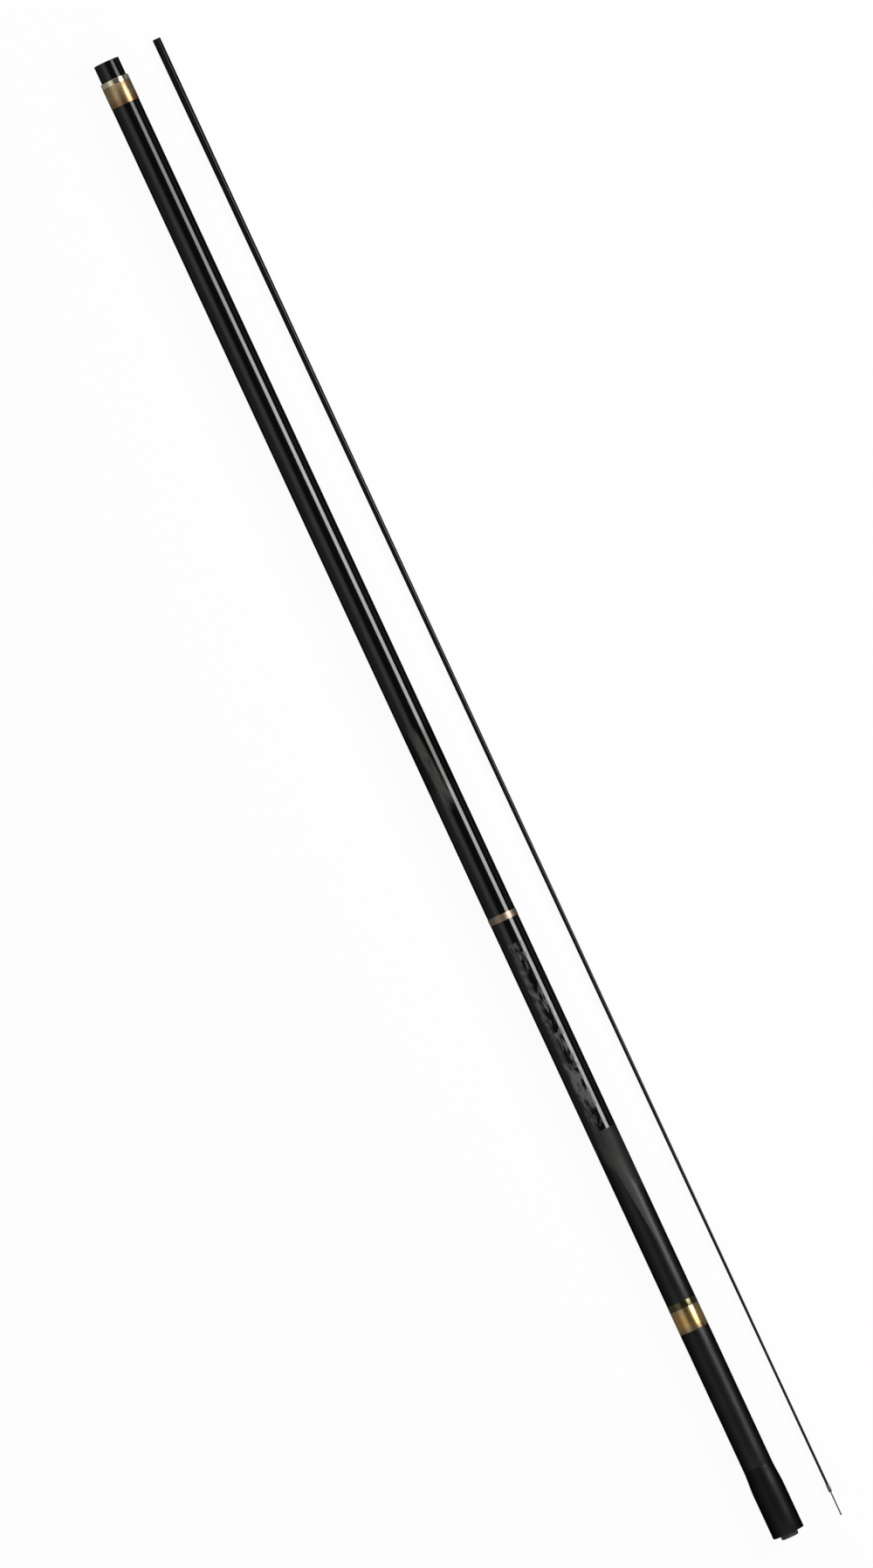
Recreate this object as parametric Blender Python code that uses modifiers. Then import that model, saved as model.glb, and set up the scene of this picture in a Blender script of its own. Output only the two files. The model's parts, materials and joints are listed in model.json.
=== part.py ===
"""A telescopic ayu rod, closed, with a spare tip section lying beside it.

The rod lies along X with its front towards +X and rests on its butt collar; the origin is below the
middle of the whole. Every turned piece is drawn as radii against its place along its own axis. Along
the rod that place is measured forwards from the rear face of the butt collar, and along the spare tip
from its thick end. Two empties carry the pieces: each one's local Z is the axis that its pieces are
turned about and slide along.
"""

import math
from collections import namedtuple

import bmesh
import bpy
from mathutils import Matrix

# Facets: every piece on one axis has its corners at the same angles, so nested tubes stay parallel.
SIDES = 24
PIN_SIDES = 12
ARC_STEPS = 4
FLARE_STEPS = 6
SEAL_STEPS = 10
MERGE_DISTANCE = 1e-5
EMPTY_SIZE = 0.05

# Clearances
BOND_GAP = 0.00005
SLIDE_GAP = 0.00005
REST_GAP = 0.0003
THREAD_GAP = 0.00015

# The butt section, which is the outermost tube and the handle
BUTT_LENGTH = 1.3514
BUTT_MOUTH_RADIUS = 0.0125
BUTT_GRIP_FRONT_RADIUS = 0.01295
BUTT_MOUTH_WALL = 0.00065
BUTT_REAR_BORE = 0.0121
EDGE_CHAMFER = 0.00012

# The mouth ring closes the front edge of the butt section, and the mouth band lies behind it.
MOUTH_RING_LENGTH = 0.0045
MOUTH_RING_LIP = 0.0008
MOUTH_BAND_LENGTH = 0.0184
FOIL_THICKNESS = 0.00015
MID_RING_PLACE = 0.5726
MID_RING_LENGTH = 0.006

# The grip: a trim ring, a band and a sleeve that share one seat, and the collar behind them
GRIP_TRIM_LENGTH = 0.006
GRIP_BAND_LENGTH = 0.0205
GRIP_SLEEVE_LENGTH = 0.1273
GRIP_RADIUS = 0.01305
GRIP_THICKNESS = 0.00033

# The butt collar, which flares out over the end of the tube and holds the screw cap
COLLAR_LENGTH = 0.0618
COLLAR_RADIUS = 0.0142
COLLAR_FLARE_LENGTH = 0.0221
COLLAR_EDGE_RADIUS = 0.0008
COLLAR_THREAD_BORE = 0.01235
COLLAR_THREAD_DEPTH = 0.011

# The screw cap in the collar, with its seal ring and the pad that the closed sections rest on
CAP_FACE_RECESS = 0.0003
CAP_SHANK_LENGTH = 0.010
CAP_KNOB_RADIUS = 0.0078
CAP_KNOB_REACH = 0.0038
CAP_KNOB_EDGE = 0.0012
CAP_VENT_RADIUS = 0.0015
CAP_SLOT_WIDTH = 0.0016
CAP_SLOT_DEPTH = 0.0018
CAP_FLUTES = 12
CAP_FLUTE_RADIUS = 0.0012
CAP_FLUTE_DEPTH = 0.0005
SEAL_PLACE = 0.0024
SEAL_WIRE_RADIUS = 0.00075
SEAL_GROOVE_PLAY = 0.0001
PAD_RADIUS = 0.0116
PAD_THICKNESS = 0.004
PAD_VENT_RADIUS = 0.002
PAD_CHAMFER = 0.0004

# The sliding sections, from the outermost in. The drop is how much less the radius is at the mouth than
# at the rear end, and the hold is the length that stays in the next mouth when the rod is drawn out.
SECTION_NAMES = ("section_7", "section_6", "section_5", "section_4", "section_3", "section_2")
SECTION_WALLS = (0.00050, 0.00045, 0.00042, 0.00040, 0.00038, 0.00036)
SECTION_DROPS = (0.00061, 0.00115, 0.00126, 0.00131, 0.00126, 0.00120)
SECTION_HOLDS = (0.210, 0.200, 0.190, 0.175, 0.160, 0.145)
SECTION_7_REACH = 0.0162
FRONT_STEP = 0.005

# The tip section and the spare tip have one shape: a seat cone, a long taper and a straight end.
TIP_HOLD = 0.126
TIP_SEAT_LENGTH = 0.140
TIP_SEAT_DROP = 0.00048
TIP_STRAIGHT_LENGTH = 0.127
TIP_END_RADIUS = 0.00115
TIP_WALL = 0.00038
TIP_BORE_DEPTH = 0.80
TIP_BORE_POINT = 0.002
SPARE_LENGTH = 1.3738
SPARE_FRONT_LEAD = 0.0006
SPARE_SPACING = 0.0467

# The line holder on each tip: a sleeve glued over the end, and a pin that turns in it
HOLDER_REACH = 0.024
HOLDER_GRIP = 0.0045
HOLDER_WALL = 0.0003
HOLDER_LIP = 0.0008
PIN_RADIUS = 0.00065
PIN_PLAY = 0.0001
PIN_FLANGE_RADIUS = 0.001
PIN_FLANGE_LENGTH = 0.0012
PIN_BULB_RADIUS = 0.00095

Tube = namedtuple("Tube", "name rear_radius mouth_radius rear_bore seat_bore mouth_bore hold rear front")


# Places along the rod, from the rear
SECTION_REAR = CAP_SHANK_LENGTH + BOND_GAP + PAD_THICKNESS + REST_GAP
BUTT_REAR = COLLAR_THREAD_DEPTH + BOND_GAP
BUTT_MOUTH = BUTT_LENGTH - MOUTH_RING_LIP - BOND_GAP
SLEEVE_REAR = COLLAR_LENGTH + BOND_GAP
SLEEVE_FRONT = SLEEVE_REAR + GRIP_SLEEVE_LENGTH
GRIP_BAND_REAR = SLEEVE_FRONT + BOND_GAP
GRIP_BAND_FRONT = GRIP_BAND_REAR + GRIP_BAND_LENGTH
GRIP_TRIM_REAR = GRIP_BAND_FRONT + BOND_GAP
GRIP_TRIM_FRONT = GRIP_TRIM_REAR + GRIP_TRIM_LENGTH
GRIP_SEAT_FRONT = GRIP_TRIM_FRONT + BOND_GAP
GRIP_SEAT_RADIUS = GRIP_RADIUS - GRIP_THICKNESS - BOND_GAP
SECTION_7_FRONT = BUTT_LENGTH + SECTION_7_REACH
TIP_FRONT = SECTION_7_FRONT - FRONT_STEP * len(SECTION_NAMES)


def seated_radius(mouth_bore, slope, hold):
    """Rear radius of a section whose taper closes in a mouth of this bore when it is drawn out."""
    return mouth_bore - SLIDE_GAP + slope * hold


def nested_tubes():
    """The sliding tubes from section 7 inwards, then the rear radius of the tip section."""
    bore = BUTT_MOUTH_RADIUS - BUTT_MOUTH_WALL
    fronts = [SECTION_7_FRONT - FRONT_STEP * index for index in range(len(SECTION_NAMES))]
    rears = []
    for front, wall, drop, hold in zip(fronts, SECTION_WALLS, SECTION_DROPS, SECTION_HOLDS):
        rears.append(seated_radius(bore, drop / (front - SECTION_REAR), hold))
        bore = rears[-1] - drop - wall
    rears.append(seated_radius(bore, TIP_SEAT_DROP / TIP_SEAT_LENGTH, TIP_HOLD))
    holds = (*SECTION_HOLDS, TIP_HOLD)
    tubes = []
    for index, name in enumerate(SECTION_NAMES):
        wall = SECTION_WALLS[index]
        mouth_radius = rears[index] - SECTION_DROPS[index]
        tubes.append(
            Tube(
                name=name,
                rear_radius=rears[index],
                mouth_radius=mouth_radius,
                rear_bore=rears[index] - wall,
                seat_bore=rears[index + 1] + SLIDE_GAP,
                mouth_bore=mouth_radius - wall,
                hold=holds[index + 1],
                rear=SECTION_REAR,
                front=fronts[index],
            )
        )
    return tubes, rears[-1]


TUBES, TIP_REAR_RADIUS = nested_tubes()


def apothem(radius):
    """Distance from the axis to the middle of a flat, where the corners are at this radius."""
    return radius * math.cos(math.pi / SIDES)


# Places of the two axes over the floor, with the whole centred on the origin
SPARE_THICK_END = SECTION_7_FRONT + SPARE_FRONT_LEAD
SPARE_THIN_END = SPARE_THICK_END - SPARE_LENGTH
REAR_END = min(-CAP_KNOB_REACH, SPARE_THIN_END)
FRONT_END = max(SECTION_7_FRONT, SPARE_THICK_END)
ROD_X = -(REAR_END + FRONT_END) / 2
WHOLE_WIDTH = apothem(COLLAR_RADIUS) + SPARE_SPACING + apothem(TIP_REAR_RADIUS)
ROD_Y = WHOLE_WIDTH / 2 - apothem(COLLAR_RADIUS)
ROD_Z = apothem(COLLAR_RADIUS)
SPARE_Y = ROD_Y - SPARE_SPACING
SPARE_Z = apothem(TIP_REAR_RADIUS)


def clear_scene():
    for thing in list(bpy.data.objects):
        bpy.data.objects.remove(thing, do_unlink=True)


def new_collection(name):
    collection = bpy.data.collections.new(name)
    bpy.context.scene.collection.children.link(collection)
    return collection


def new_material(name, colour, roughness, metallic=0.0):
    material = bpy.data.materials.new(name)
    material.use_nodes = True
    shader = material.node_tree.nodes["Principled BSDF"]
    shader.inputs["Base Color"].default_value = (*colour, 1.0)
    shader.inputs["Roughness"].default_value = roughness
    shader.inputs["Metallic"].default_value = metallic
    material.diffuse_color = (*colour, 1.0)
    return material


def new_empty(name, collection, location, rotation):
    empty = bpy.data.objects.new(name, None)
    empty.empty_display_size = EMPTY_SIZE
    empty.location = location
    empty.rotation_euler = rotation
    collection.objects.link(empty)
    return empty


def turned(name, profile, material, parent, collection, sides=SIDES):
    """A piece turned about its parent's axis. The profile runs down its outer side, then up its inside.

    A profile that starts and ends on the axis is a solid end to end, and any other is closed into a ring.
    The first corner is turned half a facet, so that a flat and not a corner faces the floor.
    """
    turn = math.pi / sides
    mesh = bpy.data.meshes.new(name)
    points = [(radius * math.cos(turn), radius * math.sin(turn), place) for radius, place in profile]
    edges = [(i, i + 1) for i in range(len(points) - 1)]
    if profile[0][0] > 0:
        edges.append((len(points) - 1, 0))
    mesh.from_pydata(points, edges, [])
    mesh.materials.append(material)
    piece = bpy.data.objects.new(name, mesh)
    piece.parent = parent
    collection.objects.link(piece)
    screw = piece.modifiers.new("Turn", "SCREW")
    screw.axis = "Z"
    screw.angle = math.tau
    screw.steps = sides
    screw.render_steps = sides
    screw.use_merge_vertices = True
    screw.merge_threshold = MERGE_DISTANCE
    screw.use_smooth_shade = True
    return piece


def quarter_arc(centre_radius, centre_place, radius, start, end, steps=ARC_STEPS):
    """Points of an arc in the radius-place plane, at angles from the outward direction."""
    points = []
    for step in range(steps + 1):
        angle = math.radians(start + (end - start) * step / steps)
        points.append((centre_radius + radius * math.cos(angle), centre_place + radius * math.sin(angle)))
    return points


def ring_profile(outer, inner, rear, front):
    """A plain ring between two places along the axis."""
    return [(outer, front), (outer, rear), (inner, rear), (inner, front)]


def cut(piece, cutter):
    boolean = piece.modifiers.new("Cut " + cutter.name, "BOOLEAN")
    boolean.operation = "DIFFERENCE"
    boolean.solver = "EXACT"
    boolean.object = cutter


def new_cutter(name, build, parent, collection):
    """A hidden object whose mesh the given function fills in."""
    mesh = bpy.data.meshes.new(name)
    shape = bmesh.new()
    build(shape)
    shape.to_mesh(mesh)
    shape.free()
    cutter = bpy.data.objects.new(name, mesh)
    cutter.parent = parent
    cutter.hide_render = True
    cutter.display_type = "WIRE"
    collection.objects.link(cutter)
    return cutter


def tube_profile(tube):
    """A sliding section: tapered outside, with a bore whose front part matches what it holds drawn out."""
    c = EDGE_CHAMFER
    return [
        (tube.mouth_radius - c, tube.front),
        (tube.mouth_radius, tube.front - c),
        (tube.rear_radius, tube.rear + c),
        (tube.rear_radius - c, tube.rear),
        (tube.rear_bore, tube.rear),
        (tube.seat_bore, tube.front - tube.hold),
        (tube.mouth_bore, tube.front),
    ]


def butt_profile():
    """The butt tube: its seat under the grip is turned down, so that the grip lies flush with the tube."""
    c = EDGE_CHAMFER
    inner = TUBES[0]
    return [
        (BUTT_MOUTH_RADIUS - c, BUTT_MOUTH),
        (BUTT_MOUTH_RADIUS, BUTT_MOUTH - c),
        (BUTT_GRIP_FRONT_RADIUS, GRIP_SEAT_FRONT),
        (GRIP_SEAT_RADIUS, GRIP_SEAT_FRONT),
        (GRIP_SEAT_RADIUS, BUTT_REAR),
        (BUTT_REAR_BORE, BUTT_REAR),
        (inner.rear_radius + SLIDE_GAP, BUTT_MOUTH - SECTION_HOLDS[0]),
        (BUTT_MOUTH_RADIUS - BUTT_MOUTH_WALL, BUTT_MOUTH),
    ]


def butt_radius_at(place):
    """Outer radius of the butt tube between its mouth and the front of the grip."""
    share = (BUTT_MOUTH - place) / (BUTT_MOUTH - GRIP_SEAT_FRONT)
    return BUTT_MOUTH_RADIUS + (BUTT_GRIP_FRONT_RADIUS - BUTT_MOUTH_RADIUS) * share


def foil_profile(rear, front):
    """A thin ring that is wrapped round the butt tube and follows its taper."""
    inner_front = butt_radius_at(front) + BOND_GAP
    inner_rear = butt_radius_at(rear) + BOND_GAP
    return [
        (inner_front + FOIL_THICKNESS, front),
        (inner_rear + FOIL_THICKNESS, rear),
        (inner_rear, rear),
        (inner_front, front),
    ]


def mouth_ring_profile():
    """A ferrule round the mouth: a sleeve on the tube, and a lip that covers its front edge."""
    rear = BUTT_LENGTH - MOUTH_RING_LENGTH
    inner_rear = butt_radius_at(rear) + BOND_GAP
    inner_front = BUTT_MOUTH_RADIUS + BOND_GAP
    bore = BUTT_MOUTH_RADIUS - BUTT_MOUTH_WALL + BOND_GAP
    outer = inner_rear + FOIL_THICKNESS
    return [
        (outer - EDGE_CHAMFER, BUTT_LENGTH),
        (outer, BUTT_LENGTH - EDGE_CHAMFER),
        (outer, rear),
        (inner_rear, rear),
        (inner_front, BUTT_LENGTH - MOUTH_RING_LIP),
        (bore, BUTT_LENGTH - MOUTH_RING_LIP),
        (bore, BUTT_LENGTH),
    ]


def collar_profile():
    """The flared collar: sleeve bore over the tube, and a narrower bore behind it that holds the cap."""
    sleeve_bore = GRIP_SEAT_RADIUS + BOND_GAP
    flare = []
    for step in range(FLARE_STEPS + 1):
        share = step / FLARE_STEPS
        rise = (1 - math.cos(math.pi * share)) / 2
        radius = GRIP_RADIUS + (COLLAR_RADIUS - GRIP_RADIUS) * rise
        flare.append((radius, COLLAR_LENGTH - COLLAR_FLARE_LENGTH * share))
    edge = quarter_arc(
        COLLAR_RADIUS - COLLAR_EDGE_RADIUS, COLLAR_EDGE_RADIUS, COLLAR_EDGE_RADIUS, 0, -90
    )
    return flare + edge + [
        (COLLAR_THREAD_BORE, 0.0),
        (COLLAR_THREAD_BORE, COLLAR_THREAD_DEPTH),
        (sleeve_bore, COLLAR_THREAD_DEPTH),
        (sleeve_bore, COLLAR_LENGTH),
    ]


SHANK_RADIUS = COLLAR_THREAD_BORE - THREAD_GAP
SEAL_RADIUS = SHANK_RADIUS - SEAL_WIRE_RADIUS


def cap_profile():
    """The screw cap: a threaded shank with a groove for the seal ring, a knob behind it and a vent hole."""
    groove_floor = SEAL_RADIUS - SEAL_WIRE_RADIUS - SEAL_GROOVE_PLAY
    groove_half = SEAL_WIRE_RADIUS + SEAL_GROOVE_PLAY
    chamfer = 2 * EDGE_CHAMFER
    knob_edge = quarter_arc(
        CAP_KNOB_RADIUS - CAP_KNOB_EDGE, CAP_KNOB_EDGE - CAP_KNOB_REACH, CAP_KNOB_EDGE, 0, -90
    )
    return [
        (SHANK_RADIUS - chamfer, CAP_SHANK_LENGTH),
        (SHANK_RADIUS, CAP_SHANK_LENGTH - chamfer),
        (SHANK_RADIUS, SEAL_PLACE + groove_half),
        (groove_floor, SEAL_PLACE + groove_half),
        (groove_floor, SEAL_PLACE - groove_half),
        (SHANK_RADIUS, SEAL_PLACE - groove_half),
        (SHANK_RADIUS, CAP_FACE_RECESS),
        (CAP_KNOB_RADIUS, CAP_FACE_RECESS),
    ] + knob_edge + [
        (CAP_VENT_RADIUS, -CAP_KNOB_REACH),
        (CAP_VENT_RADIUS, CAP_SHANK_LENGTH),
    ]


def fill_slot(shape):
    """The coin slot across the end of the knob, cut from past the end and past both sides."""
    past = CAP_SLOT_DEPTH
    size = (CAP_SLOT_WIDTH, 4 * CAP_KNOB_RADIUS, CAP_SLOT_DEPTH + past)
    middle = -CAP_KNOB_REACH + (CAP_SLOT_DEPTH - past) / 2
    place = Matrix.Translation((0, 0, middle)) @ Matrix.Diagonal((*size, 1))
    bmesh.ops.create_cube(shape, size=1.0, matrix=place)


def fill_flutes(shape):
    """The finger flutes round the knob, from past its end up to the face of the cap."""
    past = CAP_KNOB_EDGE
    length = CAP_KNOB_REACH + past
    middle = -length / 2
    circle = CAP_KNOB_RADIUS + CAP_FLUTE_RADIUS - CAP_FLUTE_DEPTH
    for index in range(CAP_FLUTES):
        place = Matrix.Rotation(math.tau * (index + 0.5) / CAP_FLUTES, 4, "Z") @ Matrix.Translation(
            (circle, 0, middle)
        )
        bmesh.ops.create_cone(
            shape,
            cap_ends=True,
            segments=PIN_SIDES,
            radius1=CAP_FLUTE_RADIUS,
            radius2=CAP_FLUTE_RADIUS,
            depth=length,
            matrix=place,
        )


def pad_profile():
    """The pad on the inner face of the cap, which the rear ends of the closed sections rest on."""
    rear = CAP_SHANK_LENGTH + BOND_GAP
    front = rear + PAD_THICKNESS
    return [
        (PAD_RADIUS - PAD_CHAMFER, front),
        (PAD_RADIUS, front - PAD_CHAMFER),
        (PAD_RADIUS, rear),
        (PAD_VENT_RADIUS, rear),
        (PAD_VENT_RADIUS, front),
    ]


def tip_profile(rear, length):
    """A tip blank of this length from its rear end: hollow at the thick end, solid towards the thin one."""
    front = rear + length
    seat_radius = TIP_REAR_RADIUS - TIP_SEAT_DROP
    taper_end = length - TIP_STRAIGHT_LENGTH
    bore_share = (TIP_BORE_DEPTH - TIP_SEAT_LENGTH) / (taper_end - TIP_SEAT_LENGTH)
    bore_end = seat_radius + (TIP_END_RADIUS - seat_radius) * bore_share - TIP_WALL
    return [
        (0.0, front),
        (TIP_END_RADIUS, front),
        (TIP_END_RADIUS, rear + taper_end),
        (seat_radius, rear + TIP_SEAT_LENGTH),
        (TIP_REAR_RADIUS, rear + EDGE_CHAMFER),
        (TIP_REAR_RADIUS - EDGE_CHAMFER, rear),
        (TIP_REAR_RADIUS - TIP_WALL, rear),
        (seat_radius - TIP_WALL, rear + TIP_SEAT_LENGTH),
        (bore_end, rear + TIP_BORE_DEPTH),
        (0.0, rear + TIP_BORE_DEPTH + TIP_BORE_POINT),
    ]


HOLDER_BORE = TIP_END_RADIUS + BOND_GAP
HOLDER_RADIUS = HOLDER_BORE + HOLDER_WALL
HOLDER_ROOM = PIN_FLANGE_LENGTH + 2 * REST_GAP
HOLDER_FRONT = HOLDER_ROOM + HOLDER_LIP


def sleeve_profile(end):
    """The sleeve of a line holder, glued over the end of a tip blank, with a lip that keeps the pin in."""
    lip_bore = PIN_RADIUS + PIN_PLAY
    return [
        (HOLDER_RADIUS - EDGE_CHAMFER, end + HOLDER_FRONT),
        (HOLDER_RADIUS, end + HOLDER_FRONT - EDGE_CHAMFER),
        (HOLDER_RADIUS, end - HOLDER_GRIP),
        (HOLDER_BORE, end - HOLDER_GRIP),
        (HOLDER_BORE, end + HOLDER_ROOM),
        (lip_bore, end + HOLDER_ROOM),
        (lip_bore, end + HOLDER_FRONT),
    ]


def pin_profile(end):
    """The turning pin of a line holder: a flange inside the sleeve, a stem and a bulb at the free end."""
    flange_rear = end + REST_GAP
    flange_front = flange_rear + PIN_FLANGE_LENGTH
    bulb_middle = end + HOLDER_REACH - PIN_BULB_RADIUS
    neck_angle = math.degrees(math.acos(PIN_RADIUS / PIN_BULB_RADIUS))
    bulb = quarter_arc(0.0, bulb_middle, PIN_BULB_RADIUS, 90, -neck_angle, steps=2 * ARC_STEPS)
    bulb[0] = (0.0, end + HOLDER_REACH)
    return bulb + [
        (PIN_RADIUS, flange_front),
        (PIN_FLANGE_RADIUS, flange_front),
        (PIN_FLANGE_RADIUS, flange_rear),
        (0.0, flange_rear),
    ]


def make_butt(axis, parts, paint):
    """The butt section with everything that is fixed to it."""
    turned("butt_section", butt_profile(), paint["black_lacquer"], axis, parts)
    turned("mouth_ring", mouth_ring_profile(), paint["pale_gold"], axis, parts)
    band_front = BUTT_LENGTH - MOUTH_RING_LENGTH - BOND_GAP
    band = foil_profile(band_front - MOUTH_BAND_LENGTH, band_front)
    turned("mouth_band", band, paint["gold"], axis, parts)
    ring_rear = MID_RING_PLACE - MID_RING_LENGTH / 2
    mid = foil_profile(ring_rear, ring_rear + MID_RING_LENGTH)
    turned("mid_ring", mid, paint["gold"], axis, parts)
    bore = GRIP_SEAT_RADIUS + BOND_GAP
    trim = ring_profile(GRIP_RADIUS, bore, GRIP_TRIM_REAR, GRIP_TRIM_FRONT)
    turned("grip_trim_ring", trim, paint["pale_gold"], axis, parts)
    band = ring_profile(GRIP_RADIUS, bore, GRIP_BAND_REAR, GRIP_BAND_FRONT)
    turned("grip_band", band, paint["gold"], axis, parts)
    sleeve = ring_profile(GRIP_RADIUS, bore, SLEEVE_REAR, SLEEVE_FRONT)
    turned("grip_sleeve", sleeve, paint["grip_black"], axis, parts)
    turned("butt_collar", collar_profile(), paint["grip_black"], axis, parts)


def make_cap(axis, parts, cutters, paint):
    """The screw cap with its seal ring and pad."""
    cap = turned("butt_cap", cap_profile(), paint["cap_black"], axis, parts)
    cut(cap, new_cutter("cap_slot", fill_slot, axis, cutters))
    cut(cap, new_cutter("cap_flutes", fill_flutes, axis, cutters))
    step = 360 / SEAL_STEPS
    seal = quarter_arc(SEAL_RADIUS, SEAL_PLACE, SEAL_WIRE_RADIUS, 0, step - 360, steps=SEAL_STEPS - 1)
    turned("cap_seal_ring", seal, paint["rubber"], axis, parts)
    turned("cushion_pad", pad_profile(), paint["foam"], axis, parts)


def make_line_holder(prefix, end, axis, parts, paint):
    """The two pieces of a line holder, with the end of the tip blank at this place."""
    turned(prefix + "_line_sleeve", sleeve_profile(end), paint["steel"], axis, parts, PIN_SIDES)
    turned(prefix + "_line_pin", pin_profile(end), paint["steel"], axis, parts, PIN_SIDES)


def make_rod(parts, cutters, paint):
    axis = new_empty("rod_axis", parts, (ROD_X, ROD_Y, ROD_Z), (0, math.radians(90), 0))
    make_butt(axis, parts, paint)
    make_cap(axis, parts, cutters, paint)
    for tube in TUBES:
        turned(tube.name, tube_profile(tube), paint["black_lacquer"], axis, parts)
    blank_end = TIP_FRONT - HOLDER_REACH
    blank = tip_profile(SECTION_REAR, blank_end - SECTION_REAR)
    turned("tip_section", blank, paint["black_lacquer"], axis, parts)
    make_line_holder("tip", blank_end, axis, parts, paint)


def make_spare_tip(parts, paint):
    place = (ROD_X + SPARE_THICK_END, SPARE_Y, SPARE_Z)
    axis = new_empty("spare_axis", parts, place, (0, math.radians(-90), 0))
    blank_length = SPARE_LENGTH - HOLDER_REACH
    turned("spare_tip_section", tip_profile(0.0, blank_length), paint["black_lacquer"], axis, parts)
    make_line_holder("spare", blank_length, axis, parts, paint)


def main():
    clear_scene()
    parts = new_collection("ayu_rod")
    cutters = new_collection("cutters")
    paint = {
        "black_lacquer": new_material("black_lacquer", (0.012, 0.012, 0.013), 0.12),
        "grip_black": new_material("grip_black", (0.014, 0.014, 0.015), 0.55),
        "gold": new_material("gold", (0.62, 0.42, 0.16), 0.25, 1.0),
        "pale_gold": new_material("pale_gold", (0.80, 0.74, 0.58), 0.25, 1.0),
        "cap_black": new_material("cap_black", (0.03, 0.03, 0.032), 0.4),
        "rubber": new_material("rubber", (0.02, 0.02, 0.02), 0.8),
        "foam": new_material("foam", (0.05, 0.05, 0.055), 0.9),
        "steel": new_material("steel", (0.60, 0.60, 0.61), 0.25, 1.0),
    }
    make_rod(parts, cutters, paint)
    make_spare_tip(parts, paint)
    bpy.context.view_layer.update()


main()
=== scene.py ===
"""Looks of the telescopic ayu rod and of the spare tip beside it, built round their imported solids.

Each CAD node is replaced by a round piece. Its outline is the node's own half section, read from the
frame, with the corners rounded and with the threads, flutes and slot added.

A place along the rod is measured forwards from the rear face of the butt collar, in metres, as in the
part's source. A side of the rod is measured round it from the middle of its top, in turns, and counts up
away from the spare tip. A fade is half the width of a soft edge.
"""

import cmath
import json
import math

import bmesh
import bpy
from mathutils import Matrix, Vector

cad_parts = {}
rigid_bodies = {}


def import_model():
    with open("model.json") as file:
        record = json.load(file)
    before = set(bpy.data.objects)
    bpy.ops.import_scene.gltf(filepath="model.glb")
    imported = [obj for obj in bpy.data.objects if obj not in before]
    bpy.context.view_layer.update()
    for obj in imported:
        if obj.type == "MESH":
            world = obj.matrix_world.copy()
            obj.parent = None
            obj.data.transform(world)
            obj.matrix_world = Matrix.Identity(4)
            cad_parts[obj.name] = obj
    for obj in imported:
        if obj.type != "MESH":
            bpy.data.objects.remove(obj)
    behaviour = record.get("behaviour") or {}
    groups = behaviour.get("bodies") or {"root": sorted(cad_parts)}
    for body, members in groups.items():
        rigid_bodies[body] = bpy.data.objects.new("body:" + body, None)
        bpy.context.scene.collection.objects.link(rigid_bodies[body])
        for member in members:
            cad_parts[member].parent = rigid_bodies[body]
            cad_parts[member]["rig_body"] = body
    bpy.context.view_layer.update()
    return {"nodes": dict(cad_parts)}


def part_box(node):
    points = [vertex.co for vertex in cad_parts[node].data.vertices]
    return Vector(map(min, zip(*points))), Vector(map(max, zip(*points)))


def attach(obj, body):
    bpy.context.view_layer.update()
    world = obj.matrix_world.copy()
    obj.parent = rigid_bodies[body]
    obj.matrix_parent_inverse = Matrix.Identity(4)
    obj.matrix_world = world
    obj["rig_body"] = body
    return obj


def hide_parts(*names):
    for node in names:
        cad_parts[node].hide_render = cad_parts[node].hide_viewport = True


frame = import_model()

MM = 0.001
WHITE = (1.0, 1.0, 1.0)

# The photograph, and the pixels where the rod's axis ends in it
PHOTO_WIDTH = 1000
PHOTO_HEIGHT = 1797
COLLAR_REAR_PIXEL = complex(903.4, 1756.7)
FRONT_END_PIXEL = complex(121.5, 71.3)

# The camera is a long lens straight above.
LENS = 300.0
SENSOR = 36.0
CLIP_START = 0.1
CLIP_END = 200.0

# Meshes
TUBE_SIDES = 96
THIN_SIDES = 48
PIN_SIDES = 32
CAP_SIDES = 240
COLLAR_SIDES = 192
RING_SPACING = 25 * MM
FINE_SPACING = 0.0625 * MM
ARC_STEPS = 4
ARC_SHARE = 0.4
SHARP_ANGLE = math.radians(32)
INWARD_COSINE = -0.5
TOP_TURN = 0.5
SAME_PLACE = 1e-6
STRAIGHT = 1e-4
SECTION_NUMBERS = range(7, 1, -1)

# How far the corners of the pieces are rounded
MOULDED_EDGE = 0.15 * MM
FERRULE_EDGE = 0.25 * MM
TUBE_EDGE = 0.1 * MM
TIP_EDGE = 0.05 * MM
SEAL_EDGE = 0.2 * MM
PAD_EDGE = 0.6 * MM

# The thread between the screw cap and the collar. Both radii swing about a mean, in step.
THREAD_PITCH = 1.5 * MM
THREAD_SWING = 0.22 * MM
THREAD_SQUARENESS = 1.6
THREAD_RUN_OUT = 0.6 * MM
CAP_THREAD = (3.9 * MM, 9.5 * MM)
COLLAR_THREAD = (3.9 * MM, 10.4 * MM)

# The knob of the screw cap, and the cutter of its coin slot, whose reach is in radii of the knob
FLUTES = 12
FLUTE_RADIUS = 1.2 * MM
FLUTE_DEPTH = 0.5 * MM
SLOT_WIDTH = 1.6 * MM
SLOT_DEPTH = 1.8 * MM
SLOT_CHAMFER = 0.2 * MM
CUTTER_PAST_END = 1 * MM
CUTTER_REACH = 1.5

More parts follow.
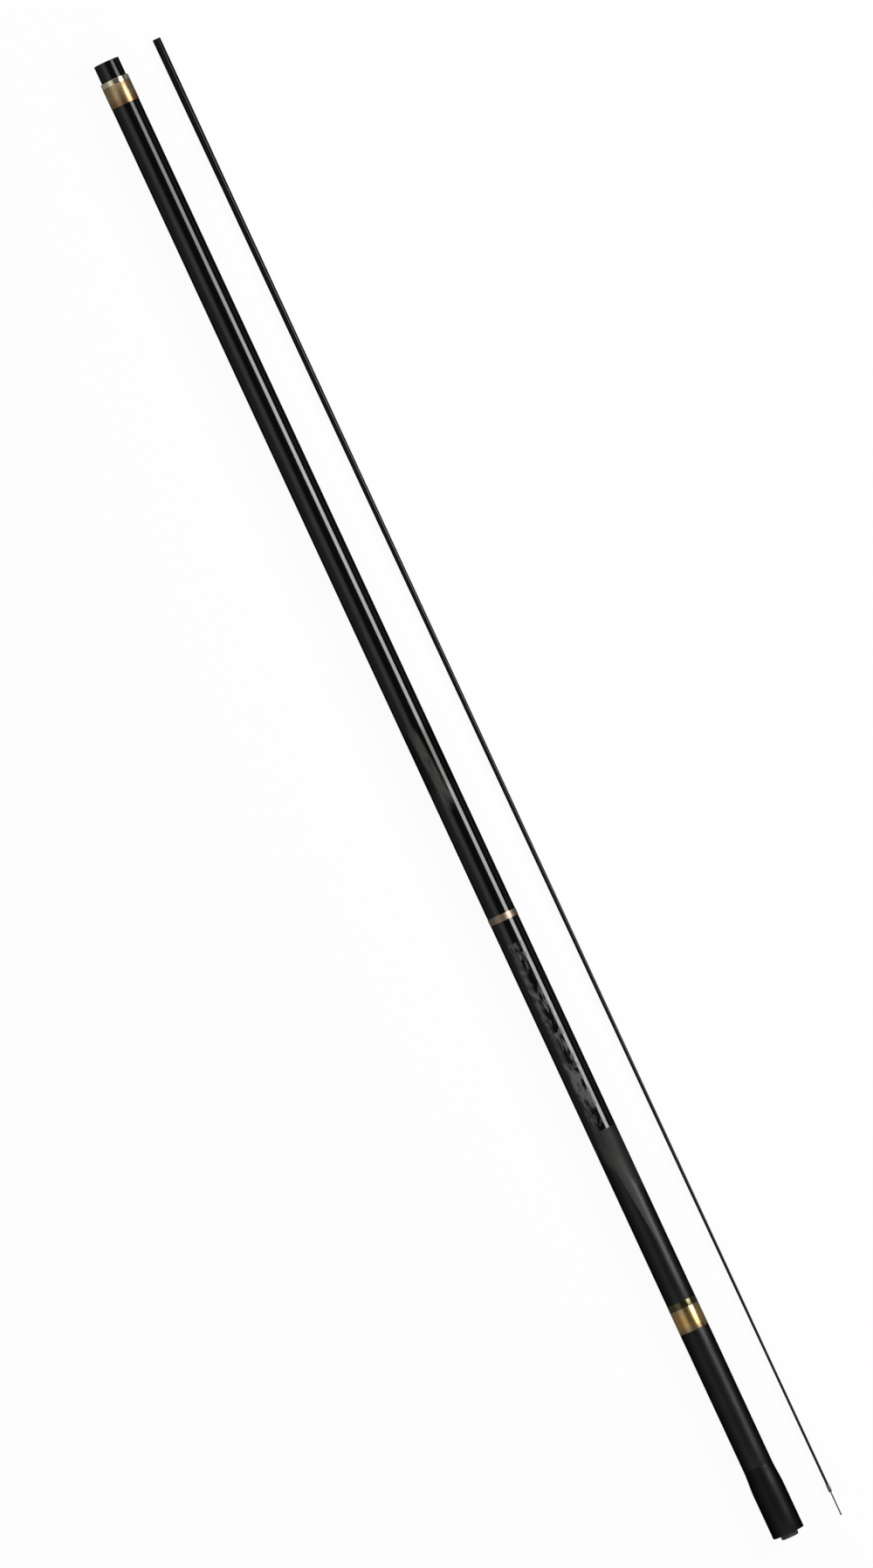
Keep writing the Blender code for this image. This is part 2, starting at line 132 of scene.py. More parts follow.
# Finishes of the butt tube: stretches are places, sides are turns, and a slant is metres for each turn
# A stretch of darker lacquer, and across it an olive, non-metallic patch on the upper side that leans with
# the place
DARK_STRETCH = (0.694, 0.746)
OLIVE_PATCH_STRETCH = (0.677, 0.746)
PATCH_FADE = 6 * MM
OLIVE_PATCH_SIDES = (-0.015, 0.085)
OLIVE_PATCH_MIDDLE = 0.72
OLIVE_PATCH_TURNS_PER_METRE = 0.82
MATT_REAR = 0.3341
MATT_FRONT = 0.3745
MATT_SLANT = 0.11
MATT_FADE = 6 * MM
# Beyond these sides the matt colour darkens to the satin colour: painted shade on the rims of the matt
# stretch
UNSHADED_MATT_SIDES = (-0.085, 0.12)
MATT_RIM_SHADE_FADE = 0.03
PALE_STRETCH = (0.25, 0.354)
PALE_FADE = 5 * MM
TAIL_REAR = 0.3024
TAIL_SLANT = 0.73
TAIL_FADE = 8 * MM
TAIL_SIDES = (-0.041, 0.06)
TAIL_SIDE_FADE = 0.012
CLOUD_STRETCH = (MATT_FRONT, 0.549)
CLOUD_SIDES = (-0.075, 0.09)
SIDE_FADE = 0.02
EDGE_FADE = 0.6 * MM

# Finish of the sections: the ground stretch at the rear, and the tape that a tube was wound from
GROUND_FRONT = 0.19
GROUND_FADE = 2 * MM
TAPE_PITCH = 2.5 * MM

# Noises: waves per metre, detail, the scale of each axis, and distortion
FIBRE_NOISE = (900, 3.0, (0.04, 1, 1))
RIPPLE_NOISE = (260, 2.0)
BUTT_GLOSS_NOISE = (35, 3.0, (0.3, 1, 1))
SECTION_GLOSS_NOISE = (60, 3.0)
OLIVE_PATCH_NOISE = (180, 3.0, (0.3, 1, 1))
CLOUD_NOISE = (120, 2.0, (0.5, 1, 1), 1.8)
CARBON_NOISE = (500, 3.0, (0.2, 1, 1))
FOIL_SHADE_NOISE = (420, 3.0)
FOIL_LINE_NOISE = (4000, 3.0, (1, 0.03, 0.03))
COAT_GRAIN_NOISE = (2600, 3.0)
COAT_SHADE_NOISE = (60, 4.0, (0.5, 1, 1))
STUFF_DETAIL = 4.0

# The stretch of a noise's values that is used, and those over which the olive patch and cloud set in
NOISE_MIDDLE = (0.3, 0.7)
OLIVE_PATCH_ONSET = (0.25, 0.5)
CLOUD_ONSET = (0.42, 0.62)

# The darkest and the lightest shade of a colour, as factors
BUTT_SHADES = (0.9, 1.1)
SECTION_SHADES = (0.85, 1.15)
CARBON_SHADES = (0.7, 1.4)
FOIL_SHADES = (0.93, 1.05)
COAT_SHADES = (0.75, 1.25)

# Roughness, and how far it swings below and above that
BUTT_ROUGHNESS = 0.1
BUTT_SWING = (0.02, 0.02)
SATIN_ROUGHNESS = 0.36
MATT_ROUGHNESS = 0.7
SECTION_ROUGHNESS = 0.09
TIP_ROUGHNESS = 0.25
SECTION_SWING = (0.02, 0.04)
GROUND_ROUGHNESS = 0.42
CARBON_ROUGHNESS = 0.5
CARBON_SWING = (0.08, 0.1)
FOIL_SWING = (0.02, 0.02)
GRIP_ROUGHNESS = 0.38
COLLAR_ROUGHNESS = 0.40
COAT_SWING = (0.04, 0.05)
STUFF_SWING = (0.06, 0.06)

# Depth of the relief, with its strength on the butt tube and the ripple's share of it on a section
BUTT_RELIEF = 0.004 * MM
BUTT_RELIEF_STRENGTH = 0.6
SECTION_RELIEF = 0.003 * MM
SECTION_RIPPLE = 0.8
CARBON_RELIEF = 0.01 * MM
FOIL_RELIEF = 0.0003 * MM
COAT_RELIEF = 0.006 * MM

# Colours. A metallic material reflects its own colour head on and its edge's at a glancing angle.
LACQUER = (0.050, 0.050, 0.051)
DARK_STRETCH_LACQUER = (0.031, 0.031, 0.030)
OLIVE_PATCH_COLOUR = (0.044, 0.045, 0.040)
GREY_PRINT = (0.080, 0.080, 0.078)
MATT_LACQUER = (0.047, 0.047, 0.044)
PALE_MATT_LACQUER = (0.062, 0.062, 0.058)
SATIN_LACQUER = (0.029, 0.029, 0.030)
SECTION_LACQUER = (0.053, 0.052, 0.053)
TIP_LACQUER = (0.020, 0.020, 0.021)
GRIP_COAT = (0.026, 0.026, 0.027)
COLLAR_COAT = (0.0185, 0.0185, 0.0195)
LACQUER_EDGE = (0.3, 0.3, 0.3)
CARBON = (0.030, 0.030, 0.031)
PALE_GOLD = (1.0, 0.91, 0.68)
GOLD = (0.50, 0.365, 0.195)
BRIGHT_GOLD = (0.64, 0.40, 0.155)
COPPER_GOLD = (0.36, 0.20, 0.095)
ROSE_GOLD = (0.36, 0.25, 0.15)
CHAMPAGNE = (0.30, 0.23, 0.175)
BRONZE = (0.118, 0.108, 0.060)
FOIL_EDGE = (0.6, 0.6, 0.6)
INNER_PLASTIC = (0.02, 0.02, 0.021)
CAP_PLASTIC = (0.03, 0.03, 0.032)
SEAL_RUBBER = (0.02, 0.02, 0.02)
PAD_FOAM = (0.05, 0.05, 0.055)
HOLDER_STEEL = (0.15, 0.15, 0.155)

# How metallic a material is. The lacquers are metallic too, so that their highlights take on a tone.
METAL = 1.0
NO_METAL = 0.0

# Foils by the node that wears them: material, slot, roughness, and colours from the rear to the front
FOILS = {
    "mouth_ring": ("pale_foil", "pale_gold", 0.14, [PALE_GOLD]),
    "mouth_band": ("mouth_foil", "gold", 0.28, [COPPER_GOLD, GOLD, GOLD]),
    "mid_ring": ("mid_foil", "gold", 0.38, [CHAMPAGNE]),
    "grip_trim_ring": ("trim_foil", "pale_gold", 0.2, [BRONZE]),
    "grip_band": ("grip_foil", "gold", 0.24, [ROSE_GOLD, BRIGHT_GOLD, BRIGHT_GOLD, GOLD]),
}

# Plain stuffs: slot, colour, roughness, waves of grain per metre, relief, and how metallic each is
STUFFS = {
    "inner_plastic": ("grip_black", INNER_PLASTIC, 0.45, 900, 0.01 * MM, NO_METAL),
    "cap_black": ("cap_black", CAP_PLASTIC, 0.4, 1500, 0.01 * MM, NO_METAL),
    "seal_rubber": ("rubber", SEAL_RUBBER, 0.6, 1200, 0.01 * MM, NO_METAL),
    "pad_foam": ("foam", PAD_FOAM, 0.9, 2500, 0.08 * MM, NO_METAL),
    "holder_steel": ("steel", HOLDER_STEEL, 0.3, 3000, 0.004 * MM, METAL),
}

# Round pieces of the butt: name, node, paints, and how far the corners are rounded
BUTT_PIECES = (
    ("butt_tube", "butt_section", ("butt", "carbon"), TUBE_EDGE),
    ("mouth_ferrule", "mouth_ring", ("mouth_ring",), FERRULE_EDGE),
    ("mouth_foil", "mouth_band", ("mouth_band",), TUBE_EDGE),
    ("mid_foil", "mid_ring", ("mid_ring",), TUBE_EDGE),
    ("grip_trim", "grip_trim_ring", ("grip_trim_ring",), TUBE_EDGE),
    ("grip_foil", "grip_band", ("grip_band",), TUBE_EDGE),
    ("grip_coating", "grip_sleeve", ("grip",), TUBE_EDGE),
)

# Round pieces inside the butt, in the same way
INNER_PIECES = (
    ("seal_ring", "cap_seal_ring", ("seal_rubber",), SEAL_EDGE),
    ("rear_pad", "cushion_pad", ("pad_foam",), PAD_EDGE),
    *((f"tube_{n}", f"section_{n}", ("section", "carbon"), TUBE_EDGE) for n in SECTION_NUMBERS),
)

# The strip light beside the rod, with its brightness at places along it from the model's middle
STRIP_ANGLE = math.radians(51)
STRIP_WIDTH = 0.76
STRIP_DISTANCE = 1.6
STRIP_RADIANCE = 10.0
STRIP_LEVELS = (
    (-0.85, 0.0), (-0.75, 0.09), (-0.68, 0.235), (-0.61, 0.45), (-0.55, 0.64),
    (-0.455, 0.79), (-0.35, 0.88), (-0.06, 0.80), (0.17, 0.82), (0.36, 0.98),
    (0.46, 0.78), (0.53, 0.64), (0.77, 0.40), (0.9, 0.27), (1.1, 0.0),
)

# The panels off the two ends of the rod
END_PANEL_SIZE = 2.0
END_PANEL_DISTANCE = 2.5
END_PANEL_RISE = 0.8
END_PANEL_RADIANCE = 1.6

# The room's brightness against the sideways part of a direction, from the spare tip's side to the other
ROOM_LEVELS = (
    (-1.0, 0.04), (-0.8, 0.07), (-0.5, 0.08), (0.0, 0.05), (0.2, 0.09),
    (0.45, 0.54), (0.66, 0.70), (0.9, 0.30), (1.0, 0.18),
)

# The floor
FLOOR_SIZE = 80.0
FLOOR_DROP = 0.2 * MM
FLOOR_COLOUR = (0.8, 0.8, 0.8)
FLOOR_SHADOW_SHARE = 0.06
FLOOR_IN_REFLECTIONS = 0.18


def axis_of(node):
    """The middle of a CAD node's box, with its x left at zero."""
    low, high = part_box(node)
    return Vector((0.0, (low.y + high.y) / 2, (low.z + high.z) / 2))


ROD_AXIS = axis_of("butt_collar")
SPARE_AXIS = axis_of("spare_tip_section")
ROD_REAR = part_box("butt_collar")[0].x


# Outlines

def without_straights(points, closed):
    """The points where the outline turns."""
    kept = []
    count = len(points)
    for index, point in enumerate(points):
        if not closed and index in (0, count - 1):
            kept.append(point)
            continue
        before = Vector(points[index - 1])
        here = Vector(point)
        after = Vector(points[(index + 1) % count])
        if (here - before).normalized().cross((after - here).normalized()) ** 2 > STRAIGHT**2:
            kept.append(point)
    return kept


def outline_of(node, axis):
    """The upper half section of a CAD node, through the middle of a flat: (x, radius) points in order."""
    shape = bmesh.new()
    shape.from_mesh(frame["nodes"][node].data)
    bmesh.ops.remove_doubles(shape, verts=shape.verts, dist=SAME_PLACE)
    bmesh.ops.bisect_plane(
        shape,
        geom=shape.verts[:] + shape.edges[:] + shape.faces[:],
        dist=SAME_PLACE,
        plane_co=axis,
        plane_no=(0, 1, 0),
        clear_inner=True,
        clear_outer=True,
    )
    bmesh.ops.bisect_plane(
        shape,
        geom=shape.verts[:] + shape.edges[:],
        dist=SAME_PLACE,
        plane_co=axis,
        plane_no=(0, 0, 1),
        clear_inner=True,
    )
    bmesh.ops.remove_doubles(shape, verts=shape.verts, dist=SAME_PLACE)
    ends = [v for v in shape.verts if len(v.link_edges) == 1]
    shape.verts.ensure_lookup_table()
    walk = [ends[0] if ends else shape.verts[0]]
    while True:
        onward = [e.other_vert(walk[-1]) for e in walk[-1].link_edges]
        onward = [v for v in onward if v not in walk]
        if not onward:
            break
        walk.append(onward[0])
    points = [(v.co.x, max(v.co.z - axis.z, 0.0)) for v in walk]
    shape.free()
    return without_straights(points, closed=not ends), not ends


def rounded(points, closed, radius):
    """The outline with each corner off the axis turned into a small arc.

    An arc takes up no more than ARC_SHARE of either stretch beside its corner.
    """
    result = []
    count = len(points)
    for index, point in enumerate(points):
        here = Vector(point)
        if not closed and index in (0, count - 1):
            result.append(point)
            continue
        back = Vector(points[index - 1]) - here
        onward = Vector(points[(index + 1) % count]) - here
        turn = math.pi - back.angle(onward)
        if turn < SHARP_ANGLE:
            result.append(point)
            continue
        reach = min(radius * math.tan(turn / 2), ARC_SHARE * back.length, ARC_SHARE * onward.length)
        first = here + back.normalized() * reach
        last = here + onward.normalized() * reach
        for step in range(ARC_STEPS + 1):
            share = step / ARC_STEPS
            low = first.lerp(here, share)
            high = here.lerp(last, share)
            result.append(tuple(low.lerp(high, share)))
    return result


def stretches(points, closed):
    """The two ends of each stretch of the outline, as vectors."""
    ends = points[1:] + points[:1] if closed else points[1:]
    return [(Vector(start), Vector(end)) for start, end in zip(points, ends)]


def divided(points, closed, spacing_at):
    """The outline with its long stretches split. spacing_at(start, end) gives the longest step in one."""
    result = []
    for start, end in stretches(points, closed):
        steps = max(1, math.ceil((end - start).length / spacing_at(start, end) - SAME_PLACE))
        result += [tuple(start.lerp(end, step / steps)) for step in range(steps)]
    if not closed:
        result.append(points[-1])
    return result


def even_spacing(start, end):
    """The longest step in a plain stretch, whatever its ends."""
    return RING_SPACING


def run_of(points, closed):
    """The length of the outline up to each of its points."""
    lengths = [0.0]
    for start, end in stretches(points, closed):
        lengths.append(lengths[-1] + (end - start).length)
    return lengths


# Meshes of turned pieces

class Strips:
    """A surface map that cuts a long tube into equal strips and stacks them into a square.

    Each strip has room past its ends for the faces that cross them.
    """

    MARGIN = 0.02

    def __init__(self, length, girth):
        self.count = max(1, round(math.sqrt(length / girth)))
        self.length = length / self.count
        self.past = RING_SPACING

    def place(self, middle, run, turn):
        """Where a point lies in the square. middle is the run at the middle of its face."""
        strip = min(int(middle / self.length), self.count - 1)
        across = (run - strip * self.length + self.past / 2) / (self.length + self.past)
        return across, (strip + self.MARGIN + (1 - 2 * self.MARGIN) * turn) / self.count


def ring_at(shape, x, radius, axis, sides, reshape):
    """The points of a piece at one x, or the single one where its outline meets the axis."""
    if radius < SAME_PLACE:
        return [shape.verts.new((x, axis.y, axis.z))]
    ring = []
    for side in range(sides):
        angle = math.tau * side / sides
        r = reshape(x, radius, angle) if reshape else radius
        ring.append(shape.verts.new((x, axis.y - r * math.sin(angle), axis.z - r * math.cos(angle))))
    return ring


def turned(name, node, axis, paints, sides, edge, spacing=even_spacing, reshape=None):
    """A round piece that stands for a CAD node. Faces that look at the axis wear the second paint.

    reshape(x, radius, angle) gives the radius there. The angle runs round the axis from straight down.
    """
    points, closed = outline_of(node, axis)
    points = divided(rounded(points, closed, edge), closed, spacing)
    shape = bmesh.new()
    surface = shape.loops.layers.uv.new("Surface")
    baked = shape.loops.layers.uv.new("OFBake")
    rings = [ring_at(shape, x, radius, axis, sides, reshape) for x, radius in points]
    along = run_of(points, closed)
    strips = Strips(along[-1], math.tau * max(radius for _, radius in points))
    for first in range(len(along) - 1):
        second = (first + 1) % len(rings)
        middle = (along[first] + along[first + 1]) / 2
        for side in range(sides):
            corners = []
            for ring, run, step in ((first, 0, 0), (first, 0, 1), (second, 1, 1), (second, 1, 0)):
                vert = rings[ring][(side + step) % len(rings[ring])]
                corners.append((vert, points[ring][0], along[first + run], (side + step) / sides))
            if len(rings[first]) == 1:
                corners = [corners[0]] + corners[2:]
            elif len(rings[second]) == 1:
                corners = corners[:3]
            face = shape.faces.new([corner[0] for corner in corners])
            face.smooth = True
            for loop, (_, x, run, turn) in zip(face.loops, corners):
                loop[surface].uv = (x - ROD_REAR, turn)
                loop[baked].uv = strips.place(middle, run, turn)
    bmesh.ops.recalc_face_normals(shape, faces=shape.faces)
    if len(paints) > 1:
        paint_inside(shape, axis)
    mesh = bpy.data.meshes.new(name)
    shape.to_mesh(mesh)
    shape.free()
    mesh.set_sharp_from_angle(angle=SHARP_ANGLE)
    for paint in paints:
        mesh.materials.append(paint.material)
    piece = bpy.data.objects.new(name, mesh)
    bpy.context.scene.collection.objects.link(piece)
    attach(piece, frame["nodes"][node]["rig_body"])
    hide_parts(node)
    return piece


def paint_inside(shape, axis):
    """Gives the second paint to the faces that look at the axis, by the cosine from straight outwards."""
    for face in shape.faces:
        outward = face.calc_center_median() - axis
        outward.x = 0.0
        if outward.length > SAME_PLACE and face.normal.dot(outward.normalized()) < INWARD_COSINE:
            face.material_index = 1


# Nodes and paints

class Nodes:
    """Short calls that add nodes to one tree."""

    def __init__(self, tree):
        self.tree = tree

    def put(self, socket, value):
        """Gives an input a number or colour, or links it from another node's output."""
        if isinstance(value, bpy.types.NodeSocket):
            self.tree.links.new(value, socket)
        elif socket.type == "RGBA" and len(value) == 3:
            socket.default_value = (*value, 1.0)
        else:
            socket.default_value = value

    def node(self, kind, inputs=(), **settings):
        """A new node. Its inputs are given in a dictionary or in order."""
        node = self.tree.nodes.new("ShaderNode" + kind)
        for setting, value in settings.items():
            setattr(node, setting, value)
        pairs = inputs.items() if isinstance(inputs, dict) else enumerate(inputs)
        for key, value in pairs:
            self.put(node.inputs[key], value)
        return node

    def math(self, operation, *values):
        """The result of a sum, a product or the like."""
        return self.node("Math", values, operation=operation).outputs[0]

    def product(self, first, *others):
        """Two or more values multiplied together."""
        for other in others:
            first = self.math("MULTIPLY", first, other)
        return first

    def spread(self, value, low, high, to_low=0.0, to_high=1.0, smooth=False):
        """The value taken from one range to another, and held at its ends."""
        kind = "SMOOTHSTEP" if smooth else "LINEAR"
        return self.node("MapRange", [value, low, high, to_low, to_high], interpolation_type=kind).outputs[0]

    def rise(self, value, edge, fade):
        """0 below an edge and 1 above it, with a smooth change between."""
        return self.spread(value, edge - fade, edge + fade, smooth=True)

    def fall(self, value, edge, fade):
        """1 below an edge and 0 above it, with a smooth change between."""
        return self.spread(value, edge - fade, edge + fade, 1.0, 0.0, smooth=True)

    def within(self, value, limits, fade):
        """1 between two limits and 0 outside them, for a place or for a side."""
        low, high = limits
        return self.product(self.rise(value, low, fade), self.fall(value, high, fade))

    def ramp(self, value, levels):
        """A grey level that changes in straight steps between (place, level) pairs."""
        ramp = self.node("ValToRGB", [value])
        points = ramp.color_ramp.elements
        while len(points) < len(levels):
            points.new(1.0)
        for point, (place, level) in zip(points, levels):
            point.position = place
            point.color = (level, level, level, 1.0)
        return ramp.outputs[0]

    def mix(self, share, first, second):
        """A colour between two. The node keeps its colours at inputs 6 and 7 and output 2."""
        return self.node("Mix", {0: share, 6: first, 7: second}, data_type="RGBA").outputs[2]

    def mix_value(self, share, first, second):
        """A number between two. The node keeps its numbers at inputs 2 and 3 and output 0."""
        return self.node("Mix", {0: share, 2: first, 3: second}, data_type="FLOAT").outputs[0]


class Paint(Nodes):
    """A material for one slot of the record, and short calls for what varies over its surface."""

    def __init__(self, name, slot, colour, roughness, metallic=NO_METAL, **sockets):
        self.slot = slot
        self.material = bpy.data.materials.new(name)
        self.material.use_nodes = True
        super().__init__(self.material.node_tree)
        self.shader = self.tree.nodes["Principled BSDF"]
        self.material.diffuse_color = (*colour, 1.0)
        self.set("Base Color", colour)
        self.set("Roughness", roughness)
        self.set("Metallic", metallic)
        for socket, value in sockets.items():
            self.set(socket.replace("_", " "), value)

    def set(self, socket, value):
        """Gives an input of the shader a number or colour, or links it."""
        self.put(self.shader.inputs[socket], value)

    def surface(self):
        """The place along the rod, and the turn round it from 0 to 1, with the middle of the top half way."""
        split = self.node("SeparateXYZ", [self.node("UVMap", uv_map="Surface").outputs[0]])
        return split.outputs[0], split.outputs[1]

    def noise(self, scale, detail, stretch=(1, 1, 1), distortion=0.0):
        """Noise at the point's own coordinates, in metres, with each axis scaled."""
        coords = self.node("TexCoord").outputs["Object"]
        coords = self.node("Mapping", {"Vector": coords, "Scale": stretch}).outputs[0]
        inputs = {"Vector": coords, "Scale": scale, "Detail": detail, "Distortion": distortion}
        return self.node("TexNoise", inputs).outputs[0]

    def tape(self, place, turn):
        """Ridges of the tape that a tube was wound from, between 0 and 1."""
        turns = self.math("MULTIPLY_ADD", place, math.tau / TAPE_PITCH, self.product(turn, math.tau))
        return self.spread(self.math("SINE", turns), -1.0, 1.0)

    def rough(self, noise, roughness, swing):
        """A roughness that swings with a noise."""
        below, above = swing
        return self.spread(noise, *NOISE_MIDDLE, roughness - below, roughness + above)

    def tint(self, colour, noise, shades):
        """Sets the colour to one that may vary already, made darker and lighter by a noise."""
        shade = self.spread(noise, *NOISE_MIDDLE, *shades)
        self.set("Base Color", self.node("VectorMath", [colour, shade], operation="MULTIPLY").outputs[0])

    def blend(self, share, colour, shades):
        """Sets the colour between the darkest and the lightest shade of one colour."""
        dark, light = (tuple(channel * factor for channel in colour) for factor in shades)
        self.set("Base Color", self.mix(share, dark, light))

    def bump(self, height, distance, strength=1.0):
        """Sets the relief."""
        inputs = {"Height": height, "Distance": distance, "Strength": strength}
        self.set("Normal", self.node("Bump", inputs).outputs[0])


# Materials

def butt_lacquer():
    """Gloss black lacquer with a darker stretch, an olive patch and a grey print, and satin behind a matt
    stretch whose rims have painted shade.
    """
    paint = Paint("butt_lacquer", "black_lacquer", LACQUER, BUTT_ROUGHNESS, METAL, Specular_Tint=LACQUER_EDGE)
    place, turn = paint.surface()
    aside = paint.math("SUBTRACT", turn, TOP_TURN)

    # Where the lacquer is darker, where the olive, non-metallic patch lies on the upper side, and where the
    # grey print lies
    dark_stretch = paint.within(place, DARK_STRETCH, PATCH_FADE)
    to_middle = paint.math("SUBTRACT", OLIVE_PATCH_MIDDLE, place)
    leaning = paint.math("MULTIPLY_ADD", to_middle, OLIVE_PATCH_TURNS_PER_METRE, aside)
    olive_patch = paint.product(
        paint.within(place, OLIVE_PATCH_STRETCH, PATCH_FADE),
        paint.within(leaning, OLIVE_PATCH_SIDES, SIDE_FADE),
        paint.spread(paint.noise(*OLIVE_PATCH_NOISE), *OLIVE_PATCH_ONSET),
    )
    cloud = paint.product(
        paint.within(place, CLOUD_STRETCH, EDGE_FADE),
        paint.within(aside, CLOUD_SIDES, SIDE_FADE),
        paint.spread(paint.noise(*CLOUD_NOISE), *CLOUD_ONSET, smooth=True),
    )

    # Where the matt stretch lies, with the narrower tail behind it, and where both are paler
    behind = paint.spread(place, MATT_FRONT - EDGE_FADE, MATT_FRONT + EDGE_FADE, 1.0, 0.0)
    slanted = paint.math("MULTIPLY_ADD", aside, -MATT_SLANT, place)
    tail_slanted = paint.math("MULTIPLY_ADD", aside, -TAIL_SLANT, place)
    tail = paint.product(
        paint.rise(tail_slanted, TAIL_REAR, TAIL_FADE),
        paint.within(aside, TAIL_SIDES, TAIL_SIDE_FADE),
    )
    matt = paint.product(paint.math("MAXIMUM", paint.rise(slanted, MATT_REAR, MATT_FADE), tail), behind)
    pale = paint.within(slanted, PALE_STRETCH, PALE_FADE)

    # Colour, gloss, and how much of the print or of the olive patch shows
    colour = paint.mix(dark_stretch, LACQUER, DARK_STRETCH_LACQUER)
    colour = paint.mix(olive_patch, colour, OLIVE_PATCH_COLOUR)
    colour = paint.mix(cloud, colour, GREY_PRINT)
    colour = paint.mix(behind, colour, SATIN_LACQUER)
    ground = paint.mix(pale, MATT_LACQUER, PALE_MATT_LACQUER)
    # Outside the unshaded sides the matt colour falls to the satin colour: painted shade on the rims
    ground = paint.mix(paint.within(aside, UNSHADED_MATT_SIDES, MATT_RIM_SHADE_FADE), SATIN_LACQUER, ground)
    paint.tint(paint.mix(matt, colour, ground), paint.noise(*FIBRE_NOISE), BUTT_SHADES)
    gloss = paint.rough(paint.noise(*BUTT_GLOSS_NOISE), BUTT_ROUGHNESS, BUTT_SWING)
    gloss = paint.mix_value(behind, gloss, SATIN_ROUGHNESS)
    paint.set("Roughness", paint.mix_value(matt, gloss, MATT_ROUGHNESS))
    paint.set("Metallic", paint.math("SUBTRACT", 1.0, paint.math("MAXIMUM", cloud, olive_patch)))
    paint.bump(paint.noise(*RIPPLE_NOISE), BUTT_RELIEF, BUTT_RELIEF_STRENGTH)
    return paint


def section_lacquer(name, colour, roughness):
    """Plain gloss lacquer over wound carbon, ground matt at the rear of each section."""
    paint = Paint(name, "black_lacquer", colour, roughness, METAL, Specular_Tint=LACQUER_EDGE)
    place, turn = paint.surface()
    paint.blend(paint.noise(*FIBRE_NOISE), colour, SECTION_SHADES)
    gloss = paint.rough(paint.noise(*SECTION_GLOSS_NOISE), roughness, SECTION_SWING)
    ground = paint.fall(place, GROUND_FRONT, GROUND_FADE)
    paint.set("Roughness", paint.mix_value(ground, gloss, GROUND_ROUGHNESS))
    ripple = paint.noise(*RIPPLE_NOISE)
    paint.bump(paint.math("MULTIPLY_ADD", ripple, SECTION_RIPPLE, paint.tape(place, turn)), SECTION_RELIEF)
    return paint


def bare_carbon():
    """The ground inside of a tube, with the turns of the tape that it was wound from."""
    paint = Paint("bare_carbon", "black_lacquer", CARBON, CARBON_ROUGHNESS)
    tape = paint.tape(*paint.surface())
    paint.blend(tape, CARBON, CARBON_SHADES)
    paint.set("Roughness", paint.rough(paint.noise(*CARBON_NOISE), CARBON_ROUGHNESS, CARBON_SWING))
    paint.bump(tape, CARBON_RELIEF)
    return paint


def shaded_along(paint, node, colours):
    """A colour that goes through several, from the rear of a node to its front."""
    place, _ = paint.surface()
    rear, front = (corner.x - ROD_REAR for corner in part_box(node))
    steps = len(colours) - 1
    colour = colours[0]
    for index in range(steps):
        start = rear + (front - rear) * index / steps
        end = rear + (front - rear) * (index + 1) / steps
        colour = paint.mix(paint.spread(place, start, end, smooth=True), colour, colours[index + 1])
    return colour


def foil(node, name, slot, roughness, colours):
    """Metal foil with fine lines round the rod, in one colour or in several along it."""
    paint = Paint(name, slot, colours[0], roughness, METAL, Specular_Tint=FOIL_EDGE)
    colour = shaded_along(paint, node, colours) if len(colours) > 1 else colours[0]
    paint.tint(colour, paint.noise(*FOIL_SHADE_NOISE), FOIL_SHADES)
    lines = paint.noise(*FOIL_LINE_NOISE)
    paint.set("Roughness", paint.rough(lines, roughness, FOIL_SWING))
    paint.bump(lines, FOIL_RELIEF)
    return paint


def grip_coat(name, colour, roughness):
    """Matt black coating with a fine grain."""
    paint = Paint(name, "grip_black", colour, roughness, METAL, Specular_Tint=LACQUER_EDGE)
    grain = paint.noise(*COAT_GRAIN_NOISE)
    paint.blend(paint.noise(*COAT_SHADE_NOISE), colour, COAT_SHADES)
    paint.set("Roughness", paint.rough(grain, roughness, COAT_SWING))
    paint.bump(grain, COAT_RELIEF)
    return paint


def plain_stuff(name, slot, colour, roughness, grain_scale, relief, metallic):
    """Moulded or turned stuff whose colour and relief vary with one grain."""
    paint = Paint(name, slot, colour, roughness, metallic)
    grain = paint.noise(grain_scale, STUFF_DETAIL)
    paint.blend(grain, colour, COAT_SHADES)
    paint.set("Roughness", paint.rough(grain, roughness, STUFF_SWING))
    paint.bump(grain, relief)
    return paint


def make_paints():
    """Every paint, by the name that the pieces ask for."""
    paints = {
        "butt": butt_lacquer(),
        "section": section_lacquer("section_lacquer", SECTION_LACQUER, SECTION_ROUGHNESS),
        "tip": section_lacquer("tip_lacquer", TIP_LACQUER, TIP_ROUGHNESS),
        "carbon": bare_carbon(),
    }
    for node, looks in FOILS.items():
        paints[node] = foil(node, *looks)
    paints["grip"] = grip_coat("grip_coat", GRIP_COAT, GRIP_ROUGHNESS)
    paints["collar"] = grip_coat("collar_coat", COLLAR_COAT, COLLAR_ROUGHNESS)
    for name, looks in STUFFS.items():
        paints[name] = plain_stuff(name, *looks)
    return paints


# Threads, flutes and the slot

def ease(value, start, end):
    """0 before the start, 1 past the end, and a smooth rise between them."""
    share = min(max((value - start) / (end - start), 0.0), 1.0)
    return share * share * (3 - 2 * share)


def thread_swing(x, angle):
    """How far the thread stands out of its mean radius."""
    wave = math.sin(math.tau * x / THREAD_PITCH + angle)
    return THREAD_SWING * math.tanh(THREAD_SQUARENESS * wave) / math.tanh(THREAD_SQUARENESS)


def run_out(place, thread):
    """How far a thread has risen past its rear end, and how far it has sunk at its front end."""
    rear, front = thread
    return ease(place, rear, rear + THREAD_RUN_OUT), ease(place, front - THREAD_RUN_OUT, front)


